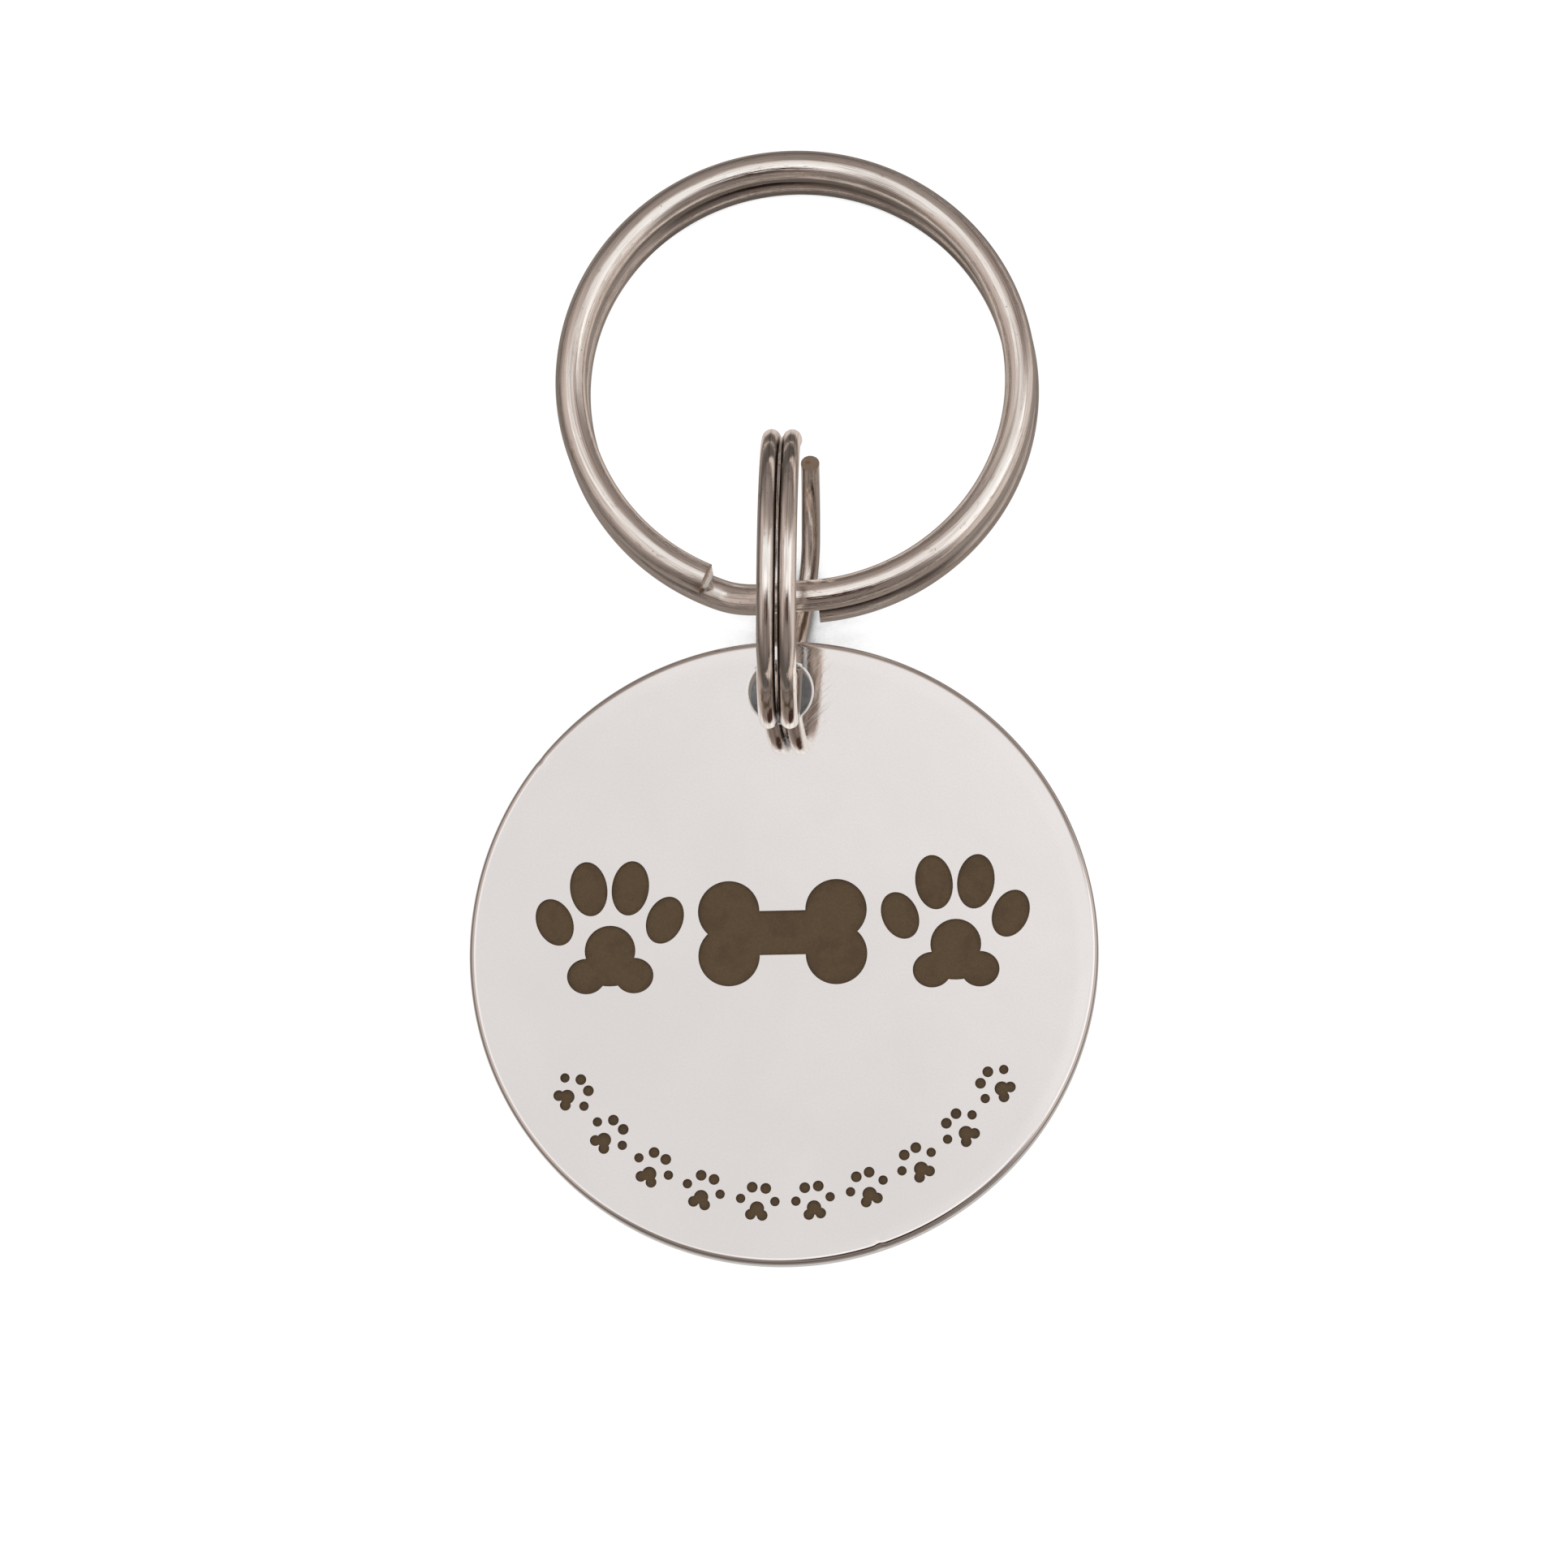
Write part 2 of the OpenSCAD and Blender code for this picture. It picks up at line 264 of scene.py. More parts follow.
def model_disc():
    deselect()
    bpy.ops.mesh.primitive_cylinder_add(vertices=720, radius=TAG_R, depth=TAG_T, location=(0, 0, 0))
    disc = named("engraved_disc")
    pick(disc, "EDGE", lambda ends: abs(ends[0].z - ends[1].z) < 0.01)
    bpy.ops.mesh.bevel(offset=RIM_R, segments=6, profile=0.5, affect="EDGES")
    done()
    # Narrow rings next to the rounding carry the roll-off of the upper face
    pick(disc, "FACE", lambda f: abs(f.normal.z) > 0.99 and len(f.vertices) > 100)
    bpy.ops.mesh.inset(thickness=0.05, depth=0)
    for _ in range(ROLL_BANDS):
        bpy.ops.mesh.inset(thickness=ROLL_BAND_W, depth=0)
    done()
    roll_off(disc)
    for angle, depth, reach in NICKS:
        nick(disc, angle, depth, reach)
    # The hole, with both mouths rounded over
    deselect()
    bpy.ops.mesh.primitive_cylinder_add(vertices=160, radius=hole_r, depth=TAG_T * 3,
                                        location=(0, hole_off, 0))
    change(disc, named("bore"), "DIFFERENCE")
    pick(disc, "EDGE", lambda ends: abs(ends[0].z - ends[1].z) < 0.01 and all(
        abs(math.hypot(e.x, e.y - hole_off) - hole_r) < 0.01 and abs(abs(e.z) - face_z) < 0.03 for e in ends))
    bpy.ops.mesh.bevel(offset=HOLE_BEVEL, segments=5, profile=0.5, affect="EDGES")
    done()
    # The engraved row and the arc of small prints below it
    paw = paw_cutter(TOES + PADS, PAW_W, "paw")
    side = (ROW_W - PAW_W) / 2
    cutters = [copy_to(paw, Matrix.Translation((x, ROW_RISE, 0)), "paw_at_side") for x in (-side, side)]
    bpy.data.objects.remove(paw)
    bone = bone_cutter(ROW_W - 2 * (PAW_W + ROW_GAP), BONE_H, "bone")
    bone.location = (0, ROW_RISE, 0)
    work_on(bone)
    bpy.ops.object.transform_apply(location=True, rotation=True, scale=True)
    cutters.append(bone)
    small_paw = paw_cutter([(x, y, r, r, 0) for x, y, r in SMALL_SPOTS], TRAIL_PAW_W, "small_paw")
    for i in range(TRAIL_COUNT):
        turned = math.radians((i - (TRAIL_COUNT - 1) / 2) * TRAIL_STEP)
        place = Matrix.Rotation(turned, 4, "Z") @ Matrix.Translation((0, -TRAIL_R, 0))
        cutters.append(copy_to(small_paw, place, "small_paw_on_arc"))
    bpy.data.objects.remove(small_paw)
    change(disc, joined(cutters, "engraving"), "DIFFERENCE")
    return disc


def in_engraving(face):
    c = face.center
    return (face_z - MARK_DEPTH - 0.01 < c.z < face_z - 0.002 and math.hypot(c.x, c.y) < ROLL_FROM - 0.05
            and math.hypot(c.x, c.y - hole_off) > hole_r + HOLE_BEVEL + 0.1)


# The split rings, in mm about their own centres, with the first cut end towards +X

# Degrees: the wire starts at 0, begins to cross to its second turn at cross_angle and ends at last_angle
END_CLEAR, CROSS_RUN, LAST_CLEAR = 3, 23, 2.5
cross_angle = -360 + END_CLEAR + CROSS_RUN
last_angle = -720 + END_CLEAR + CROSS_RUN + LAST_CLEAR
# Depth in mm, measured along the wire, of the faces that count as its cut end
END_SKIN = 0.045


def ease(s):
    s = max(0.0, min(1.0, s))
    return s * s * (3 - 2 * s)


def wire_at(a, r, pitch, spring, slip):
    """Place of the wire's core at an angle: slip shifts the second turn, and spring lifts the free end."""
    down = ease((-a - 360 + END_CLEAR + CROSS_RUN) / CROSS_RUN)
    up = ease((spring[1] + a) / spring[2])
    t = math.radians(a)
    return Vector((r * math.cos(t) + slip[0] * down, r * math.sin(t) + slip[1] * down,
                   pitch / 2 - pitch * down + spring[0] * up))


def straighten(obj, line):
    """Keeps each point's place on the wire as if it were straight: along, outwards and across, in mm."""
    tree = kdtree.KDTree(len(line))
    for i, point in enumerate(line):
        tree.insert(point, i)
    tree.balance()
    run = [0.0]
    for i in range(1, len(line)):
        run.append(run[-1] + (line[i] - line[i - 1]).length)
    straight = obj.data.attributes.new("straight_wire", "FLOAT_VECTOR", "POINT")
    for v in obj.data.vertices:
        i = tree.find(v.co)[1]
        tangent = (line[min(i + 1, len(line) - 1)] - line[max(i - 1, 0)]).normalized()
        away = v.co - line[i]
        outward = Vector((line[i].x, line[i].y, 0)).normalized()
        across = tangent.cross(outward)
        straight.data[v.index].vector = (run[i] + away.dot(tangent), away.dot(outward), away.dot(across))
    return run[-1]


def end_faces(obj, line, first):
    """Selects the flat faces of one cut end."""
    end, behind = (line[0], line[1]) if first else (line[-1], line[-2])
    out = (end - behind).normalized()
    pick(obj, "FACE", lambda f: f.normal.dot(out) > 0.999 and (f.center - end).length < 0.01)
    return end, out


def torn_lip(obj, line, wire):
    """A jagged lip of metal left by the shears on the lower, outer part of a cut end."""
    end, out = end_faces(obj, line, True)
    done()
    outward = Vector((end.x, end.y, 0)).normalized()

    def on_lip(face):
        away = face.center - end
        return face.normal.dot(out) > 0.999 and away.length > wire * 0.25 and away.dot(outward) > wire * 0.1

    pick(obj, "FACE", on_lip)
    # Without a seed the noise would differ from run to run
    noise.seed_set(5)
    for reach, size in ((0.16, 0.85), (0.14, 0.55)):
        bpy.ops.mesh.extrude_region_move(TRANSFORM_OT_translate={"value": out * reach})
        done()
        chosen = {v for face in obj.data.polygons if face.select for v in face.vertices}
        middle = sum((obj.data.vertices[v].co for v in chosen), Vector()) / len(chosen)
        for v in chosen:
            co = obj.data.vertices[v].co
            co += (middle - co) * (1 - size) + noise.noise_vector(co * 5.3) * 0.05
        bpy.ops.object.mode_set(mode="EDIT")
    done()


def model_ring(name, r, wire, pitch, spring, slip, lip=False):
    """One unbroken wire, swept along the same line as the solid, with sheared ends."""
    count = int(abs(last_angle))
    line = [wire_at(last_angle * i / count, r, pitch, spring, slip) for i in range(count + 1)]
    curve = bpy.data.curves.new(name, "CURVE")
    curve.dimensions = "3D"
    spline = curve.splines.new("POLY")
    spline.points.add(count)
    for point, place in zip(spline.points, line):
        point.co = (*place, 1)
    curve.twist_mode = "MINIMUM"
    curve.bevel_depth = wire / 2
    curve.bevel_resolution = 16
    curve.use_fill_caps = True
    obj = bpy.data.objects.new(name, curve)
    bpy.context.scene.collection.objects.link(obj)
    work_on(obj)
    bpy.ops.object.convert(target="MESH")
    obj = bpy.context.object
    bpy.ops.object.mode_set(mode="EDIT")
    bpy.ops.mesh.select_all(action="SELECT")
    bpy.ops.mesh.remove_doubles(threshold=0.001)
    done()
    for first in (True, False):
        end_faces(obj, line, first)
        bpy.ops.mesh.bevel(offset=wire * 0.1, segments=3, profile=0.5, affect="EDGES")
        end_faces(obj, line, first)
        bpy.ops.mesh.inset(thickness=wire * 0.08, depth=0)
        bpy.ops.mesh.inset(thickness=wire * 0.14, depth=0)
        done()
    if lip:
        torn_lip(obj, line, wire)
    obj["run"] = straighten(obj, line)
    return obj, line


def mark_wire(obj, line, r, wire, pitch, touches):
    """Per point: its way out from the core, how worn it is with a painted shade where it faces the other
    turn, and a painted shade where it is tucked in between the turns.
    """
    kept = obj.data.attributes
    names = ("core_share", "wear_and_shade", "tucked_shade")
    for name in names:
        kept.new(name, "FLOAT", "POINT")
    straight = kept["straight_wire"].data
    core, wear_and_shade, tucked_shade = (kept[name].data for name in names)
    end_reach, rub_reach, tucked_shade_reach = 0.7, 2.6, 0.1
    for v in obj.data.vertices:
        along, outward, across = straight[v.index].vector
        core[v.index].value = math.hypot(outward, across) / (wire / 2)
        share = max(0, min(1, along / obj["run"]))
        middle = line[round(share * (len(line) - 1))].z
        lift = max(0, abs(middle) - pitch / 2)
        facing = -(v.co.z - middle) / (wire / 2) * max(-1, min(1, middle / (pitch / 2)))
        # The stretch that crosses from one turn to the other has nothing beside it
        turned = share * last_angle
        beside = max(ease((turned - cross_angle) / 8), ease((-360 - turned) / 3))
        # Painted shade: near black where the wire faces the other turn close by
        tucked_shade[v.index].value = ease((facing - 0.5) / 0.4) * math.exp(-lift / tucked_shade_reach) * beside
        end = max(0, min(along, obj["run"] - along))
        at = math.degrees(math.atan2(v.co.y, v.co.x))
        near = min(abs((at - touch + 180) % 360 - 180) for touch in touches) * math.radians(1) * r
        rubbed = math.exp(-near / rub_reach) * (0.35 + 0.65 * max(0, outward / (wire / 2)))
        # Painted shade where the wire faces the other turn, added to the real wear at the ends and rubbed
        # places
        shaded = ease((facing - 0.1) / 0.9) * beside
        wear_and_shade[v.index].value = min(1, math.exp(-end / end_reach) + 0.3 * shaded + 0.8 * rubbed)


disc = model_disc()
slip_turn = math.radians(LARGE_SLIP_TURN - LARGE_END)
large_slip = (LARGE_SLIP * math.cos(slip_turn), LARGE_SLIP * math.sin(slip_turn))
large, large_line = model_ring("large_ring_wire", large_r, LARGE_WIRE, large_pitch, LARGE_SPRING, large_slip,
                               lip=True)
small, small_line = model_ring("small_ring_wire", small_r, SMALL_WIRE, small_pitch, SMALL_SPRING, (0, 0))
mark_wire(large, large_line, large_r, LARGE_WIRE, large_pitch, [-90 - LARGE_END])
mark_wire(small, small_line, small_r, SMALL_WIRE, small_pitch, [180 + HOLE_LAY - SMALL_END, -90 - SMALL_END])


# Materials. Patterns are in mm: on the disc from its own centre, and on a wire along the straightened wire

def srgb(r, g, b):
    return tuple(((c / 255 + 0.055) / 1.055) ** 2.4 if c > 10 else c / 255 / 12.92 for c in (r, g, b)) + (1,)


def feed(tree, socket, value):
    if isinstance(value, bpy.types.NodeSocket):
        tree.links.new(value, socket)
    elif value is not None:
        socket.default_value = value


def calc(tree, operation, a, b=None):
    node = tree.nodes.new("ShaderNodeMath")
    node.operation = operation
    feed(tree, node.inputs[0], a)
    feed(tree, node.inputs[1], b)
    return node.outputs[0]


def times(tree, a, b):
    return calc(tree, "MULTIPLY", a, b)


def plus(tree, a, b):
    return calc(tree, "ADD", a, b)


def minus(tree, a, b):
    return calc(tree, "SUBTRACT", a, b)


def larger(tree, a, b):
    return calc(tree, "MAXIMUM", a, b)


def ramped(tree, value, low, high, start=0.0, end=1.0):
    """start below low, end above high, and a smooth rise or fall between."""
    node = tree.nodes.new("ShaderNodeMapRange")
    node.interpolation_type = "SMOOTHSTEP"
    for name, setting in (("Value", value), ("From Min", low), ("From Max", high),
                          ("To Min", start), ("To Max", end)):
        feed(tree, node.inputs[name], setting)
    return node.outputs[0]


def falling(tree, value, low, high):
    """1 below low, 0 above high, and a smooth fall between."""
    return ramped(tree, value, low, high, 1.0, 0.0)


def mapped(tree, vector, scale, turn=(0, 0, 0), shift=(0, 0, 0)):
    node = tree.nodes.new("ShaderNodeMapping")
    for name, setting in (("Vector", vector), ("Location", shift), ("Rotation", turn), ("Scale", scale)):
        feed(tree, node.inputs[name], setting)
    return node.outputs[0]


def noisy(tree, vector, scale, detail=2.0, rough=0.5, distortion=0.0):
    node = tree.nodes.new("ShaderNodeTexNoise")
    for name, setting in (("Vector", vector), ("Scale", scale), ("Detail", detail), ("Roughness", rough),
                          ("Distortion", distortion)):
        feed(tree, node.inputs[name], setting)
    return node.outputs["Fac"]


def blended(tree, factor, a, b):
    node = tree.nodes.new("ShaderNodeMix")
    node.data_type = "RGBA"
    colours = {socket.name: socket for socket in node.inputs if socket.type == "RGBA"}
    feed(tree, node.inputs["Factor"], factor)
    feed(tree, colours["A"], a)
    feed(tree, colours["B"], b)
    return next(socket for socket in node.outputs if socket.type == "RGBA")


def tinted(tree, colour, mask, strength, tint):
    """The colour with a tint over it where the mask is, at most as much as strength."""
    return blended(tree, times(tree, mask, strength), colour, tint)


def raised(tree, height, distance, normal=None):
    """Bump of a height that runs from 0 to 1, over a distance in mm."""
    node = tree.nodes.new("ShaderNodeBump")
    node.inputs["Distance"].default_value = distance * MM
    feed(tree, node.inputs["Height"], height)
    feed(tree, node.inputs["Normal"], normal)
    return node.outputs[0]


def effect(name, **numbers):
    """A shader node group that takes a vector and some numbers and gives a mask from 0 to 1."""
    tree = bpy.data.node_groups.new(name, "ShaderNodeTree")
    tree.interface.new_socket(name="Vector", in_out="INPUT", socket_type="NodeSocketVector")
    for title, value in numbers.items():
        socket = tree.interface.new_socket(name=title, in_out="INPUT", socket_type="NodeSocketFloat")
        socket.default_value = value
    tree.interface.new_socket(name="Mask", in_out="OUTPUT", socket_type="NodeSocketFloat")
    return tree, tree.nodes.new("NodeGroupInput").outputs, tree.nodes.new("NodeGroupOutput").inputs["Mask"]


def hairline_scratches():
    tree, given, mask = effect("hairline_scratches", Scale=1.0, Width=0.01, Cover=0.5)
    total = None
    for turn, shift in ((0.35, 3), (1.25, 17), (2.2, 31), (2.75, 47)):
        place = mapped(tree, given["Vector"], (1, 0.05, 1), (0, 0, turn), (shift, shift, 0))
        line = calc(tree, "ABSOLUTE", minus(tree, noisy(tree, place, given["Scale"], 1.0, 0.4, 0.3), 0.5))
        line = falling(tree, line, 0.0, given["Width"])
        patch = noisy(tree, mapped(tree, given["Vector"], (1, 1, 1), (0, 0, 0), (shift, 0, shift)), 0.35, 2.0)
        shown = ramped(tree, patch, given["Cover"], plus(tree, given["Cover"], 0.08))
        line = times(tree, line, shown)
        total = line if total is None else larger(tree, total, line)
    feed(tree, mask, total)
    return tree


def polish_grain():
    tree, given, mask = effect("polish_grain", Scale=1.0)
    fine = noisy(tree, given["Vector"], given["Scale"], 3.0, 0.65)
    feed(tree, mask, ramped(tree, fine, 0.3, 0.7))
    return tree


def soft_patches():
    tree, given, mask = effect("soft_patches", Scale=0.3, Cover=0.5, Softness=0.15)
    cloud = noisy(tree, given["Vector"], given["Scale"], 4.0, 0.55, 0.4)
    full = plus(tree, given["Cover"], given["Softness"])
    feed(tree, mask, ramped(tree, cloud, given["Cover"], full))
    return tree


def brown_tarnish():
    tree, given, mask = effect("brown_tarnish", Scale=1.0, Worn=0.0, Spread=0.5)
    cloud = noisy(tree, given["Vector"], given["Scale"], 4.0, 0.6, 0.6)
    level = plus(tree, cloud, times(tree, given["Worn"], given["Spread"]))
    feed(tree, mask, ramped(tree, level, 0.72, 0.95))
    return tree


def tiny_pits():
    tree, given, mask = effect("tiny_pits", Scale=1.0, Size=0.12)
    cells = tree.nodes.new("ShaderNodeTexVoronoi")
    feed(tree, cells.inputs["Vector"], given["Vector"])
    feed(tree, cells.inputs["Scale"], given["Scale"])
    spot = falling(tree, cells.outputs["Distance"], times(tree, given["Size"], 0.5), given["Size"])
    chosen = ramped(tree, noisy(tree, given["Vector"], times(tree, given["Scale"], 0.3), 1.0), 0.56, 0.6)
    feed(tree, mask, times(tree, spot, chosen))
    return tree


made = (hairline_scratches(), polish_grain(), soft_patches(), brown_tarnish(), tiny_pits())
EFFECTS = {tree.name: tree for tree in made}


def placed(tree, name, vector, **settings):
    """Places one of the shared effects in a material, with its own values."""
    node = tree.nodes.new("ShaderNodeGroup")
    node.node_tree = EFFECTS[name]
    feed(tree, node.inputs["Vector"], vector)
    for title, setting in settings.items():
        feed(tree, node.inputs[title], setting)
    return node.outputs["Mask"]


def new_material(name):
    material = bpy.data.materials.new(name)
    material.use_nodes = True
    return material, material.node_tree, material.node_tree.nodes["Principled BSDF"]


def disc_place(tree):
    """Object coordinates turned into mm about the disc's own centre."""
    coord = tree.nodes.new("ShaderNodeTexCoord")
    node = tree.nodes.new("ShaderNodeMapping")
    node.vector_type = "TEXTURE"
    node.inputs["Location"].default_value = tag_place.translation * MM
    node.inputs["Rotation"].default_value = tag_place.to_euler()
    node.inputs["Scale"].default_value = (MM, MM, MM)
    tree.links.new(coord.outputs["Object"], node.inputs["Vector"])
    return node.outputs[0]


def attribute(tree, name):
    node = tree.nodes.new("ShaderNodeAttribute")
    node.attribute_name = name
    return node


def away_from(tree, vector, centre, flat=(1, 1, 1)):
    """Distance from a centre, counted along the axes that flat keeps."""
    shifted = tree.nodes.new("ShaderNodeVectorMath")
    shifted.operation = "SUBTRACT"
    feed(tree, shifted.inputs[0], vector)
    shifted.inputs[1].default_value = centre
    kept = tree.nodes.new("ShaderNodeVectorMath")
    kept.operation = "MULTIPLY"
    tree.links.new(shifted.outputs[0], kept.inputs[0])
    kept.inputs[1].default_value = flat
    length = tree.nodes.new("ShaderNodeVectorMath")
    length.operation = "LENGTH"
    tree.links.new(kept.outputs[0], length.inputs[0])
    return length.outputs["Value"]


def polished_steel():
    material, tree, shader = new_material("polished_steel")
    place = disc_place(tree)
    radius = away_from(tree, place, (0, 0, 0), (1, 1, 0))
    from_hole = away_from(tree, place, (0, hole_off, 0), (1, 1, 0))
    grain = placed(tree, "polish_grain", place, Scale=8.0)
    patches = placed(tree, "soft_patches", place, Scale=0.16, Cover=0.36, Softness=0.3)
    scratches = placed(tree, "hairline_scratches", place, Scale=0.9, Width=0.004, Cover=0.56)
    rubbed = placed(tree, "hairline_scratches", mapped(tree, place, (1, 1, 1), (0, 0, 0.8), (9, 4, 0)),
                    Scale=2.4, Width=0.01, Cover=0.5)
    near_hole = falling(tree, from_hole, hole_r + 0.3, hole_r + 3.2)
    near_rim = ramped(tree, radius, TAG_R - 2.2, TAG_R - 0.2)
    wear_here = larger(tree, near_hole, times(tree, near_rim, 0.5))
    scratches = larger(tree, times(tree, scratches, 0.35), times(tree, rubbed, wear_here))
    # The wall shows fine upright shear lines from the blanking
    wall = ramped(tree, radius, TAG_R - 0.02, TAG_R - 0.003)
    shear = times(tree, noisy(tree, mapped(tree, place, (7, 7, 0.5)), 1.0, 3.0, 0.6), wall)
    colour = blended(tree, patches, (0.895, 0.852, 0.828, 1), (0.918, 0.874, 0.85, 1))
    colour = tinted(tree, colour, grain, 0.28, (0.82, 0.775, 0.745, 1))
    colour = tinted(tree, colour, scratches, 0.1, (0.66, 0.64, 0.61, 1))
    colour = tinted(tree, colour, shear, 0.35, (0.62, 0.59, 0.56, 1))
    # The rounded mouth of the hole is painted pale and matt: a painted highlight for the white ring it
    # mirrors
    mouth_highlight = times(tree, ramped(tree, from_hole, hole_r + 0.01, hole_r + 0.03),
                  falling(tree, from_hole, hole_r + HOLE_BEVEL - 0.02, hole_r + HOLE_BEVEL))
    colour = blended(tree, mouth_highlight, colour, (0.96, 0.95, 0.93, 1))
    feed(tree, shader.inputs["Base Color"], colour)
    feed(tree, shader.inputs["Metallic"], ramped(tree, mouth_highlight, 0.0, 1.0, 1.0, 0.3))
    rough = plus(tree, times(tree, grain, 0.02), times(tree, scratches, 0.04))
    rough = plus(tree, rough, times(tree, mouth_highlight, 0.25))
    rough = plus(tree, rough, times(tree, patches, 0.01))
    rough = plus(tree, rough, times(tree, wall, 0.08))
    feed(tree, shader.inputs["Roughness"], plus(tree, rough, 0.03))
    normal = raised(tree, noisy(tree, place, 0.45, 1.0), 0.003)
    normal = raised(tree, grain, 0.0002, normal)
    normal = raised(tree, scratches, -0.0003, normal)
    normal = raised(tree, shear, 0.01, normal)
    feed(tree, shader.inputs["Normal"], normal)
    return material


def engraving_fill():
    material, tree, shader = new_material("engraving_fill")
    place = disc_place(tree)
    grain = placed(tree, "polish_grain", place, Scale=9.0)
    patches = placed(tree, "soft_patches", place, Scale=0.9, Cover=0.45, Softness=0.25)
    pits = placed(tree, "tiny_pits", place, Scale=5.0, Size=0.16)
    colour = blended(tree, patches, srgb(90, 71, 48), srgb(82, 64, 43))
    colour = tinted(tree, colour, grain, 0.35, srgb(76, 59, 40))
    colour = tinted(tree, colour, pits, 0.5, srgb(60, 46, 31))
    feed(tree, shader.inputs["Base Color"], colour)
    shader.inputs["Specular IOR Level"].default_value = 0.3
    feed(tree, shader.inputs["Roughness"], ramped(tree, grain, 0.0, 1.0, 0.55, 0.72))
    normal = raised(tree, grain, 0.006)
    feed(tree, shader.inputs["Normal"], raised(tree, pits, -0.01, normal))
    return material


def ring_nickel():
    material, tree, shader = new_material("ring_nickel")
    place = attribute(tree, "straight_wire").outputs["Vector"]
    wear_and_shade = attribute(tree, "wear_and_shade").outputs["Fac"]
    tucked_shade = attribute(tree, "tucked_shade").outputs["Fac"]
    drawn = noisy(tree, mapped(tree, place, (0.1, 6.5, 6.5)), 1.0, 4.0, 0.65)
    flecks = placed(tree, "soft_patches", mapped(tree, place, (1.1, 4.0, 4.0)),
                    Scale=1.3, Cover=0.6, Softness=0.1)
    grain = placed(tree, "polish_grain", mapped(tree, place, (0.5, 1, 1)), Scale=11.0)
    patches = placed(tree, "soft_patches", mapped(tree, place, (0.35, 1, 1)),
                     Scale=0.55, Cover=0.42, Softness=0.22)
    # Brown tarnish, driven by real wear at the ends and rubbed places and by painted shade where the turns
    # face each other
    tarnish = placed(tree, "brown_tarnish", mapped(tree, place, (0.4, 2.4, 2.4)),
                     Scale=0.9, Worn=wear_and_shade, Spread=0.3)
    pits = placed(tree, "tiny_pits", place, Scale=2.6, Size=0.11)
    lines = ramped(tree, drawn, 0.5, 0.62)
    colour = blended(tree, patches, (0.96, 0.905, 0.855, 1), (0.915, 0.845, 0.79, 1))
    colour = tinted(tree, colour, lines, 0.7, (0.56, 0.485, 0.42, 1))
    colour = tinted(tree, colour, flecks, 0.5, (0.46, 0.39, 0.34, 1))
    colour = tinted(tree, colour, tarnish, 0.6, (0.40, 0.255, 0.17, 1))
    colour = tinted(tree, colour, pits, 0.7, (0.20, 0.14, 0.10, 1))
    # Painted shade, near black, where the wire is tucked in between the turns
    colour = tinted(tree, colour, tucked_shade, 0.85, (0.09, 0.055, 0.04, 1))
    feed(tree, shader.inputs["Base Color"], colour)
    shader.inputs["Metallic"].default_value = 1
    rough = plus(tree, times(tree, lines, 0.03), times(tree, tarnish, 0.12))
    rough = plus(tree, rough, times(tree, larger(tree, flecks, pits), 0.05))
    rough = plus(tree, rough, times(tree, grain, 0.015))
    feed(tree, shader.inputs["Roughness"], plus(tree, rough, 0.03))
    normal = raised(tree, noisy(tree, mapped(tree, place, (0.3, 0.5, 0.5)), 1.0, 1.0), 0.02)
    normal = raised(tree, drawn, 0.02, normal)
    normal = raised(tree, grain, 0.0005, normal)
    feed(tree, shader.inputs["Normal"], raised(tree, pits, -0.006, normal))
    return material


def sheared_end():
    """The cut ends: greyer steel core in a brown rim, with shear lines and a brown spot."""
    material, tree, shader = new_material("sheared_end")
    place = attribute(tree, "straight_wire").outputs["Vector"]
    core = attribute(tree, "core_share").outputs["Fac"]
    shear = noisy(tree, mapped(tree, place, (1, 1.2, 9)), 1.0, 3.0, 0.6)
    grain = placed(tree, "polish_grain", place, Scale=12.0)
    rim = ramped(tree, plus(tree, core, times(tree, grain, 0.1)), 0.84, 1.0)
    spot = falling(tree, away_from(tree, place, (0, 0.05, -0.12), (0, 1, 0.7)), 0.06, 0.14)
    colour = blended(tree, ramped(tree, shear, 0.4, 0.7), (0.92, 0.86, 0.82, 1), (0.72, 0.65, 0.61, 1))
    colour = tinted(tree, colour, rim, 0.85, (0.30, 0.20, 0.12, 1))
    colour = tinted(tree, colour, spot, 0.8, (0.30, 0.17, 0.09, 1))
    feed(tree, shader.inputs["Base Color"], colour)
    feed(tree, shader.inputs["Metallic"], ramped(tree, rim, 0.0, 1.0, 0.4, 0.7))
    feed(tree, shader.inputs["Roughness"], ramped(tree, shear, 0.3, 0.8, 0.36, 0.5))
    feed(tree, shader.inputs["Normal"], raised(tree, grain, 0.006, raised(tree, shear, 0.02)))
    return material


steel, fill = polished_steel(), engraving_fill()
nickel, sheared = ring_nickel(), sheared_end()


def dress(obj, main, second, is_second, smooth_angle):
    """Gives the faces that pass the test the second finish and all others the main one."""
    obj.data.materials.clear()
    obj.data.materials.append(main)
    obj.data.materials.append(second)
    for face in obj.data.polygons:
        face.material_index = 1 if is_second(face) else 0
    work_on(obj)
    bpy.ops.object.shade_smooth_by_angle(angle=math.radians(smooth_angle))


def at_cut_end(ring):
    straight = ring.data.attributes["straight_wire"].data

    def test(face):
        along = sum(straight[v].vector.x for v in face.vertices) / len(face.vertices)
        return along < END_SKIN or along > ring["run"] - END_SKIN

    return test


dress(disc, steel, fill, in_engraving, 35)
modifier = disc.modifiers.new("even_faces", "WEIGHTED_NORMAL")
modifier.mode = "FACE_AREA"
modifier.weight = 60
modifier.keep_sharp = True
apply_all(disc)
for ring in (large, small):
    dress(ring, nickel, sheared, at_cut_end(ring), 40)

